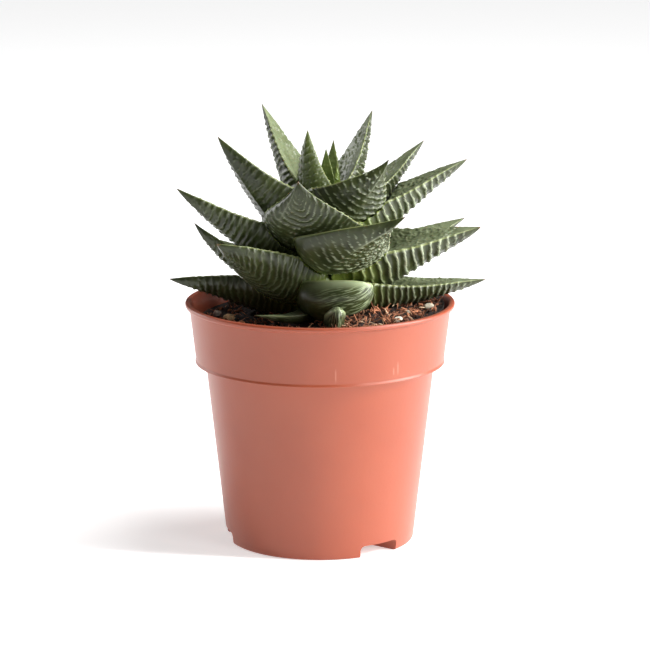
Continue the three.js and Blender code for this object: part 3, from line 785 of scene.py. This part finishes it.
def pot_plastic():
    material, node, shader = skin(
        "satin_polypropylene",
        Roughness=0.38,
        Subsurface_Weight=0.12,
        Subsurface_Scale=2 * MM,
        IOR=1.58,
        Sheen_Weight=0.04,
        Sheen_Roughness=0.3,
    )
    place = node("TexCoord", out="Object")
    cloud = node("TexNoise", {"Vector": place, "Scale": cells(28.6), "Detail": 3.0})
    colour = mottle(node, cloud, 0.3, 0.7, linear("9a462a"), linear("a04c2f"))
    x, y, z = node("SeparateXYZ", [place], out=None)
    front = node("LESS_THAN", [y, 0.0])
    ends = [FLOW_MARK_HIGHLIGHT["half_width"] * MM, FLOW_MARK_HIGHLIGHT["core"] * MM, 0.0, FLOW_MARK_HIGHLIGHT["strength"]]
    for mark in FLOW_MARKS:
        half = mark["half"] * MM
        aside = node("ABSOLUTE", [node("SUBTRACT", [x, mark["across"] * MM])])
        above = node("ABSOLUTE", [node("SUBTRACT", [z, mark["middle_z"] * MM])])
        narrow = node("MapRange", [aside, *ends])
        short = node("MapRange", [above, half, 0.4 * half])
        shown = node("MULTIPLY", [node("MULTIPLY", [narrow, short]), front])
        # A painted highlight: a paler line where the raised flow mark would catch the light
        colour = node("Mix.RGBA", {0: shown, 6: colour, 7: linear("e8b49c")}, out=2)
    # The real grain is finer, and is drawn as coarse as it needs to show
    grain = node("TexNoise", {"Vector": place, "Scale": cells(1.111), "Detail": 2.0})
    coat(shader, colour, grain, 0.1, 0.2)
    return material


# %% Mould the pot
def mould_pot():
    pot = turned("nursery_pot", rounded(POT_PROFILE, (0.0, 0.0), (0.0, POT_FLOOR)), POT_SIDES)
    for k in range(NOTCH["count"]):
        angle = NOTCH["first_angle"] + 360 / NOTCH["count"] * k
        housing = sector(angle, POT_WALL, HOUSING_FOOT, NOTCH_RADII["housing"])
        opening = sector(angle, 0, -1.0, NOTCH_RADII["outer"])
        combine(pot, [housing], "UNION")
        combine(pot, [opening], "DIFFERENCE")
        bpy.data.objects.remove(housing)
        bpy.data.objects.remove(opening)
    pot.data.materials.clear()
    pot.data.materials.append(pot_plastic())
    pot.data.shade_smooth()
    pot.data.set_sharp_from_angle(angle=math.radians(35))
    dress(pot, "terracotta_plastic", "pot")
    print("pot triangles:", triangles(pot))


mould_pot()

# %% [markdown]
# ## The soil
# Peat and coir in crumbs, with red-brown fibres and a few stones. The body of it is a disc of rings whose
# top is broken up by noise. Crumbs and fibres are scattered over it by Geometry Nodes.

# %% Soil body
SOIL = {"edge_z": 77.2, "heap": 1.4, "lean": 0.072, "edge": 41.5, "heap_radius": 43.5}
SOIL_FOOT_Z = 5.6
SOIL_WALL = ((29.9, SOIL_FOOT_Z), (36.7, 61.9), (39.9, 62.3))
SOIL_SIDES, SOIL_RINGS = 200, 80


def soil_height(x, y):
    from_stem = np.hypot(x - STEM["x"], y - STEM["y"]) / SOIL["heap_radius"]
    return SOIL["edge_z"] + SOIL["heap"] * (1 - from_stem**2) + SOIL["lean"] * x


def soil_object():
    angles = np.linspace(0, math.tau, SOIL_SIDES, endpoint=False)
    rings = []
    for radius, z in SOIL_WALL:
        rings.append([(radius * math.cos(a), radius * math.sin(a), z) for a in angles])
    for radius in np.linspace(SOIL["edge"], 0.5, SOIL_RINGS):
        x, y = radius * np.cos(angles), radius * np.sin(angles)
        rings.append(np.stack([x, y, soil_height(x, y)], axis=1))
    poles = [(0, 0, SOIL_FOOT_Z), (0, 0, soil_height(0, 0))]
    points = np.concatenate([np.array(rings).reshape(-1, 3), poles])
    piece = mesh_object("potting_mix", points, tube_faces(len(rings), SOIL_SIDES))
    below = (len(SOIL_WALL) + 1) * SOIL_SIDES
    store(piece, "top", np.concatenate([np.zeros(below), np.ones(len(points) - below)]))
    return piece


# %% [markdown]
# The top is stored as a number on its points, so that only it gets lumps and the wall stays plain. Peat
# is dull and dark in its pores, and each loose bit of it dries to its own tone.

# %% Lumps in the surface
def build_lump_tree():
    node, given = geometry_tree("Crumbly surface", {"Crumb Depth": 2.0, "Lump Height": 3.2})
    place = node("GeometryNodeInputPosition")
    top = node("GeometryNodeInputNamedAttribute.FLOAT", ["top"])
    crumbs = node("TexVoronoi.SMOOTH_F1", {"Vector": place, "Scale": cells(1.923)})
    lumps = node("TexNoise", {"Vector": place, "Scale": cells(6.67), "Detail": 4.0, "Roughness": 0.6})
    high = node("MULTIPLY", [node("SUBTRACT", [lumps, 0.5]), given["Lump Height"]])
    deep = node("MULTIPLY", [crumbs, given["Crumb Depth"]])
    lift = node("SUBTRACT", [high, deep])
    for share in (top, MM):
        lift = node("MULTIPLY", [lift, share])
    offset = node("CombineXYZ", {2: lift})
    moved = node("GeometryNodeSetPosition", {"Geometry": given["Geometry"], "Offset": offset})
    return close_tree(moved, given["Material"])


def earth(name, dark, light, grain):
    """A dry, dull material in grains of a size, dark in its pores. Each loose bit has its own tone."""
    material, node, shader = skin(name, Roughness=0.9)
    place = node("TexCoord", out="Object")
    pores = {"Vector": place, "Scale": cells(grain), "Detail": 5.0, "Roughness": 0.7}
    tone = node("Attribute", out="Fac", attribute_name="tone")
    both = node("MULTIPLY_ADD", [node("TexNoise", pores), 0.6, tone])
    coat(shader, mottle(node, both, 0.2, 1.3, linear(dark), linear(light)))
    return material


def fill_pot():
    soil = soil_object()
    grow(soil, build_lump_tree(), earth("peat_and_coir", "170e0a", "5a3626", 3.33), {})
    freeze(soil)
    dress(soil, "potting_mix", "soil")
    print("soil triangles:", triangles(soil))
    return soil


soil = fill_pot()

# %% [markdown]
# The surface alone looks like a cast. Loose crumbs lie on it in many sizes: one small rough ball,
# scattered, turned and scaled at random. Each keeps a random tone for its colour.

# %% Scatter helpers
RIGHT_FRONT = (0.8, -0.6, 0)
LEVEL = (1, 1, 0)


def scatter(node, given, seed):
    """Points on the soil's top, within reach of its middle, at the side wanted, so many a square metre."""
    place = node("GeometryNodeInputPosition")
    radius = node("VectorMath.LENGTH", [node("VectorMath.MULTIPLY", [place, LEVEL])], out="Value")
    near = node("LESS_THAN", [radius, node("MULTIPLY", [given["Reach"], MM])])
    along = node("VectorMath.DOT_PRODUCT", [place, RIGHT_FRONT], out="Value")
    sided = node("GREATER_THAN", [along, node("MULTIPLY", [given["From Side"], MM])])
    top = node("GeometryNodeInputNamedAttribute.FLOAT", ["top"])
    chosen = node("MULTIPLY", [node("MULTIPLY", [near, sided]), top])
    spots = {"Mesh": given["Geometry"], "Selection": chosen, "Density": given["Density"], "Seed": seed}
    return node("GeometryNodeDistributePointsOnFaces", spots)


def lay(node, spots, shape, turn, size, seed):
    """Put a shape on each spot, note a random tone on each, and make them real."""
    how = {"Points": spots, "Instance": shape, "Rotation": turn, "Scale": size}
    laid = node("GeometryNodeInstanceOnPoints", how)
    tone = node("FunctionNodeRandomValue.FLOAT", {"Seed": seed}, out="Value")
    noted = {"Geometry": laid, "Name": "tone", "Value": tone}
    toned = node("GeometryNodeStoreNamedAttribute.FLOAT", noted, domain="INSTANCE")
    return node("GeometryNodeRealizeInstances", [toned])


def copy_of(piece, name):
    twin = bpy.data.objects.new(name, piece.data.copy())
    bpy.context.scene.collection.objects.link(twin)
    return twin


# %% Loose crumbs
def build_crumb_tree():
    sizes = {"Density": 130000, "Reach": 40.5, "From Side": -100, "Smallest": 0.25, "Largest": 1}
    node, given = geometry_tree("Loose crumbs", sizes)
    ball = node("GeometryNodeMeshIcoSphere", {"Radius": MM, "Subdivisions": 2})
    turn = node("FunctionNodeRandomValue.FLOAT_VECTOR", {1: (math.tau,) * 3, "Seed": 3})
    share = node("FunctionNodeRandomValue.FLOAT", {"Seed": 5}, out="Value")
    mostly_small = node("POWER", [share, 3.0])
    size = node("MapRange", {0: mostly_small, 3: given["Smallest"], 4: given["Largest"]})
    squat = node("CombineXYZ", [size, size, node("MULTIPLY", [size, 0.7])])
    real = lay(node, scatter(node, given, 11), ball, turn, squat, 8)
    place = node("GeometryNodeInputPosition")
    knobs = node("TexNoise", {"Vector": place, "Scale": cells(1.111), "Detail": 0.0}, out=1)
    push = node("VectorMath.SUBTRACT", [knobs, (0.5, 0.5, 0.5)])
    push = node("VectorMath.SCALE", {0: push, "Scale": 1.4 * MM})
    moved = node("GeometryNodeSetPosition", {"Geometry": real, "Offset": push})
    return close_tree(moved, given["Material"])


crumbs = copy_of(soil, "soil_crumbs")
grow(crumbs, build_crumb_tree(), earth("loose_peat", "20130d", "7a4a34", 2), {})
freeze(crumbs)
dress(crumbs, "potting_mix")
print("crumb triangles:", triangles(crumbs))

# %% [markdown]
# Coir is the husk of a coconut: stiff, springy red-brown fibres, and flat splinters of the same stuff.
# Each is a short line, scattered on the soil, bent by noise and given a thin round section. No fibre
# may pass the wall of the pot, so points that would are drawn in to it.

# %% Coir fibres and splinters
POT_INSIDE = 41.4


def build_fibre_tree():
    sizes = {
        "Density": 40000, "Reach": 39, "From Side": -100, "Length": 6, "Radius": 0.15, "Curl": 4,
        "Tilt": 0.4, "Seed": 1,
    }
    node, given = geometry_tree("Coir fibres", sizes)
    half = node("MULTIPLY", [given["Length"], 0.5 * MM])
    start = node("CombineXYZ", [node("MULTIPLY", [half, -1.0])])
    end = node("CombineXYZ", [half])
    line = node("GeometryNodeCurvePrimitiveLine", {"Start": start, "End": end})
    line = node("GeometryNodeResampleCurve", {"Curve": line, "Count": 9})
    low = node("CombineXYZ", {1: node("MULTIPLY", [given["Tilt"], -1.0])})
    high = node("CombineXYZ", {1: given["Tilt"], 2: math.tau})
    turn = node("FunctionNodeRandomValue.FLOAT_VECTOR", {0: low, 1: high, "Seed": 2})
    size = node("FunctionNodeRandomValue.FLOAT", {2: 0.4, 3: 1.3, "Seed": 4}, out="Value")
    seed = node("FunctionNodeFloatToInt", [given["Seed"]])
    real = lay(node, scatter(node, given, seed), line, turn, size, 6)

    # Bent by noise, a little more up than down, and drawn in to the wall of the pot
    place = node("GeometryNodeInputPosition")
    bend = node("TexNoise", {"Vector": place, "Scale": cells(7.14), "Detail": 1.0}, out=1)
    bend = node("VectorMath.SUBTRACT", [bend, (0.5, 0.5, 0.42)])
    curl = node("MULTIPLY", [given["Curl"], MM])
    bend = node("VectorMath.SCALE", {0: bend, "Scale": curl})
    bent = node("GeometryNodeSetPosition", {"Geometry": real, "Offset": bend})
    radius = node("VectorMath.LENGTH", [node("VectorMath.MULTIPLY", [place, LEVEL])], out="Value")
    share = node("MINIMUM", [node("DIVIDE", [POT_INSIDE * MM, radius]), 1.0])
    drawn = node("CombineXYZ", [share, share, 1.0])
    inside = node("VectorMath.MULTIPLY", [place, drawn])
    kept = node("GeometryNodeSetPosition", {"Geometry": bent, "Position": inside})

    # A thin round section, thickest in the middle and at the knots
    thick = node("MULTIPLY", [given["Radius"], MM])
    section = node("GeometryNodeCurvePrimitiveCircle", {"Resolution": 5, "Radius": thick})
    turn_along = node("MULTIPLY", [node("GeometryNodeSplineParameter"), math.pi])
    taper = node("MULTIPLY_ADD", [node("SINE", [turn_along]), 0.7, 0.3])
    knots = node("TexNoise", {"Vector": place, "Scale": cells(1.429), "Detail": 0.0})
    taper = node("MULTIPLY", [taper, node("MULTIPLY_ADD", [knots, 2.4, -0.3])])
    tube = {"Curve": kept, "Profile Curve": section, "Scale": taper, "Fill Caps": True}
    return close_tree(node("GeometryNodeCurveToMesh", tube), given["Material"])


fibre_tree = build_fibre_tree()
red_coir = earth("red_coir", "3e1a12", "d08a64", 0.7143)
# Pale straw: partly its own colour and partly a painted highlight on the lit right front of the soil
straw_and_highlight_coir = earth("straw_and_highlight_coir", "9a6a48", "f0d0ac", 0.7143)

# %% Scatter the coir
FIBRES = {
    "coir_fibres": {"Density": 30000, "Length": 6, "Radius": 0.16, "Curl": 6, "Seed": 21},
    "coir_splinters": {"Density": 60000, "Length": 3.2, "Radius": 0.3, "Curl": 4, "Tilt": 0.9, "Seed": 22},
    "right_splinters": {
        "Density": 210000, "From Side": 16, "Length": 3.8, "Radius": 0.28, "Curl": 5, "Tilt": 1.2, "Seed": 23
    },
    # Pale straw only on the right front side, partly a painted highlight where the light falls
    "straw_and_highlight_fibres": {
        "Density": 60000, "From Side": 12, "Length": 3.4, "Radius": 0.2, "Curl": 5, "Tilt": 1, "Seed": 24
    },
}
for name, sizes in FIBRES.items():
    coir = straw_and_highlight_coir if name == "straw_and_highlight_fibres" else red_coir
    fibres = copy_of(soil, name)
    grow(fibres, fibre_tree, coir, sizes)
    freeze(fibres)
    dress(fibres, "potting_mix")
    print(name, "triangles:", triangles(fibres))

# %% [markdown]
# ## The stones
# Growers mix pumice and grit into the peat, for air. Each stone is a ball with flats knocked off it at
# random, since broken pumice has no edges that last. Its surface is dull and full of fine pores, which
# show as dark specks of painted shade, where its fine bump is low, in the pale stone.

# %% Stones
STONES = [
    # Place on the soil, then length, width and height, then colour. The first two are painted paler than
    # their own colour, a painted light where the plant shades them
    ((-34.7, 6.6), (3.4, 2.8, 2.6), "c0aea2"),
    ((-30.5, -2.3), (4.6, 3.6, 2.8), "e2bc8c"),
    ((-25.9, -13), (3, 2.4, 2), "c88860"),
    ((25.5, -24.4), (5.2, 3.4, 2.4), "e0dccb"),
    ((36, -6.8), (4.6, 3, 2.4), "b9b09c"),
    ((29, -14), (1.8, 1.6, 1.4), "d8ccb8"),
    ((29, 24), (3.6, 3, 2.2), "b0a090"),
    ((4, 38), (4, 3.2, 2.4), "c08850"),
    ((-30, 22), (3.8, 3, 2.6), "8a7468"),
]
STONE_FLATS = {"count": 14, "depth": 0.16, "from": 0.72}
PORE_SHADE = 0.6


def stone_material(name, code):
    material, node, shader = skin(name, Roughness=0.85)
    place = node("TexCoord", out="Object")
    speck = node("TexNoise", {"Vector": place, "Scale": cells(1.111), "Detail": 4.0})
    # Painted shade: the pores are darker where the bump is low
    dark = tuple(PORE_SHADE * c for c in linear(code)[:3]) + (1.0,)
    coat(shader, mottle(node, speck, 0.4, 0.65, dark, linear(code)), speck, 0.5, 0.3)
    return material


def lay_stones():
    materials = {code: stone_material("pumice_" + code, code) for code in sorted({row[2] for row in STONES})}
    for number, ((x, y), size, code) in enumerate(STONES, 1):
        body = bmesh.new()
        bmesh.ops.create_icosphere(body, subdivisions=4, radius=0.5)
        rng = np.random.default_rng(number)
        knobs = unit(rng.normal(size=(STONE_FLATS["count"], 3)))
        turn = rng.uniform(0, math.pi)
        cos, sin = math.cos(turn), math.sin(turn)
        for vertex in body.verts:
            way = np.array(vertex.co.normalized())
            near = np.clip((knobs @ way - STONE_FLATS["from"]) / (1 - STONE_FLATS["from"]), 0, 1)
            flat = 1 - STONE_FLATS["depth"] * np.max(near)
            u, v, w = way * flat * np.array(size) / 2
            vertex.co = Vector((u * cos - v * sin, u * sin + v * cos, w))
            vertex.co += Vector((x, y, float(soil_height(x, y))))
            vertex.co *= MM
        name = f"stone_{number}_fine"
        mesh = bpy.data.meshes.new(name)
        body.to_mesh(mesh)
        body.free()
        mesh.shade_smooth()
        mesh.materials.append(materials[code])
        piece = bpy.data.objects.new(name, mesh)
        bpy.context.scene.collection.objects.link(piece)
        dress(piece, "pumice", f"stone_{number}")
    print("stones:", len(STONES))


lay_stones()

# %% [markdown]
# ## The stem
# What is left of the fallen leaves makes the stem dull and corky. Its solid already has the right shape,
# so it stays and only gets a finish.

# %% Stem material
def stem_skin():
    material, node, shader = skin("corky_stem", Roughness=0.7)
    place = node("TexCoord", out="Object")
    cloud = node("TexNoise", {"Vector": place, "Scale": cells(2.5), "Detail": 4.0})
    coat(shader, mottle(node, cloud, 0, 1, linear("6b7040"), linear("9a9a66")))
    return material


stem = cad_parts["stem"]
stem.data.materials.clear()
stem.data.materials.append(stem_skin())

# %% [markdown]
# ## Studio
# A pale floor and a pale world. The key is a soft sun from the upper right. A large panel at the right
# gives the plastic its pale side, a small one in front of that its sheen, one behind at the left the
# light edge, and one overhead lights the leaves from above. The camera stands where the photograph's
# rim, collar and base ellipses put it. Places of lamps and camera are in metres.

# %% Floor, lights and camera
FLOOR = {"half": 9000, "colour": "f2f2f2", "glow": 0.45}
AIM = (0, 0, 0.09)
PANELS = {
    "right_panel": {"where": (0.95, -0.1, 0.22), "power": 11.5, "size": 0.6},
    "front_right_panel": {"where": (0.7, -0.65, 0.3), "power": 3, "size": 0.35},
    "left_back_panel": {"where": (-0.9, 0.6, 0.4), "power": 5, "size": 0.6},
    "overhead_panel": {"where": (0.4, 0.1, 0.95), "power": 9, "size": 0.6},
}
KEY = {"way": (-0.8, 0.2, -0.55), "power": 2.1, "spread": 5}
WORLD_LIGHT = 0.1
CAMERA = {"where": (0.00167, -0.9778, 0.2822), "aim": (0.00167, 0, 0.0726), "sensor": 36, "lens": 165.6}


def put(name, data, where, way):
    """Link a lamp or camera that looks along a way."""
    thing = bpy.data.objects.new(name, data)
    thing.location = where
    thing.rotation_euler = way.to_track_quat("-Z", "Y").to_euler()
    bpy.context.scene.collection.objects.link(thing)
    return thing


def studio():
    half = FLOOR["half"]
    corners = [(-half, -half, 0), (half, -half, 0), (half, half, 0), (-half, half, 0)]
    floor = mesh_object("floor", corners, [(0, 1, 2, 3)])
    material, _, _ = skin(
        "pale_floor",
        Base_Color=linear(FLOOR["colour"]),
        Roughness=0.8,
        Emission_Color=(1, 1, 1, 1),
        Emission_Strength=FLOOR["glow"],
    )
    floor.data.materials.append(material)
    for name, panel in PANELS.items():
        light = bpy.data.lights.new(name, "AREA")
        light.energy, light.size = panel["power"], panel["size"]
        put(name, light, panel["where"], Vector(AIM) - Vector(panel["where"]))
    sun = bpy.data.lights.new("key", "SUN")
    sun.energy, sun.angle = KEY["power"], math.radians(KEY["spread"])
    put("key", sun, (0, 0, 1), Vector(KEY["way"]))
    world = bpy.data.worlds.new("studio")
    world.use_nodes = True
    background = world.node_tree.nodes["Background"]
    background.inputs["Color"].default_value = (1, 1, 1, 1)
    background.inputs["Strength"].default_value = WORLD_LIGHT
    bpy.context.scene.world = world
    bpy.context.scene.view_settings.view_transform = "Standard"


def camera():
    data = bpy.data.cameras.new("camera")
    data.sensor_width, data.lens = CAMERA["sensor"], CAMERA["lens"]
    way = Vector(CAMERA["aim"]) - Vector(CAMERA["where"])
    bpy.context.scene.camera = put("camera", data, CAMERA["where"], way)


studio()
camera()
